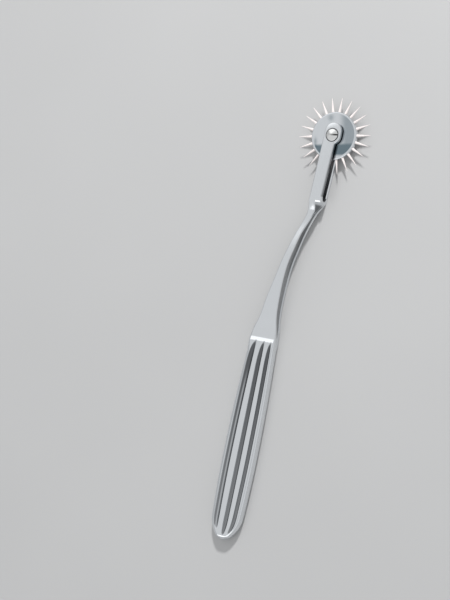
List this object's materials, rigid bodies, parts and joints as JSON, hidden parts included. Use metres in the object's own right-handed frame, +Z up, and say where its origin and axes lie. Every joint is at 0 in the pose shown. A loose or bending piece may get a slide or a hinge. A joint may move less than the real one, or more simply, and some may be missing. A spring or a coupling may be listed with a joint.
{
  "type": "neurological pinwheel",
  "caption": "Hand-held sensory test pinwheel: a disc of radial pins spins in the fork of a flat fluted handle with an S-bent neck.",
  "frame": {"origin": "middle of the bottom of the whole object's box, as it lies flat on a table", "axes": "+X along the handle from butt to wheel, +Z up, out of the front tine along the wheel's axle, +Y to the side the grip is set over to"},
  "size_m": [0.19, 0.0374, 0.0068],
  "materials": {
    "polished_handle": "polished nickel-chrome plate on a steel forging",
    "polished_disc": "turned and polished plate",
    "polished_screw": "polished, domed, slotted",
    "pin_steel": "ground and polished needle points"
  },
  "bodies": {
    "handle": {"handle": "polished_handle", "pivot_screw": "polished_screw"},
    "wheel": {"wheel_disc": "polished_disc", "pin_01": "pin_steel", "pin_02": "pin_steel", "pin_03": "pin_steel", "pin_04": "pin_steel", "pin_05": "pin_steel", "pin_06": "pin_steel", "pin_07": "pin_steel", "pin_08": "pin_steel", "pin_09": "pin_steel", "pin_10": "pin_steel", "pin_11": "pin_steel", "pin_12": "pin_steel", "pin_13": "pin_steel", "pin_14": "pin_steel", "pin_15": "pin_steel", "pin_16": "pin_steel", "pin_17": "pin_steel", "pin_18": "pin_steel", "pin_19": "pin_steel", "pin_20": "pin_steel", "pin_21": "pin_steel", "pin_22": "pin_steel"}
  },
  "joints": [
    {"name": "wheel_spin", "type": "hinge", "parent": "handle", "child": "wheel", "pos_m": [0.0787, -0.00256, 0.00315], "axis": [0, 0, 1], "continuous": true}
  ]
}
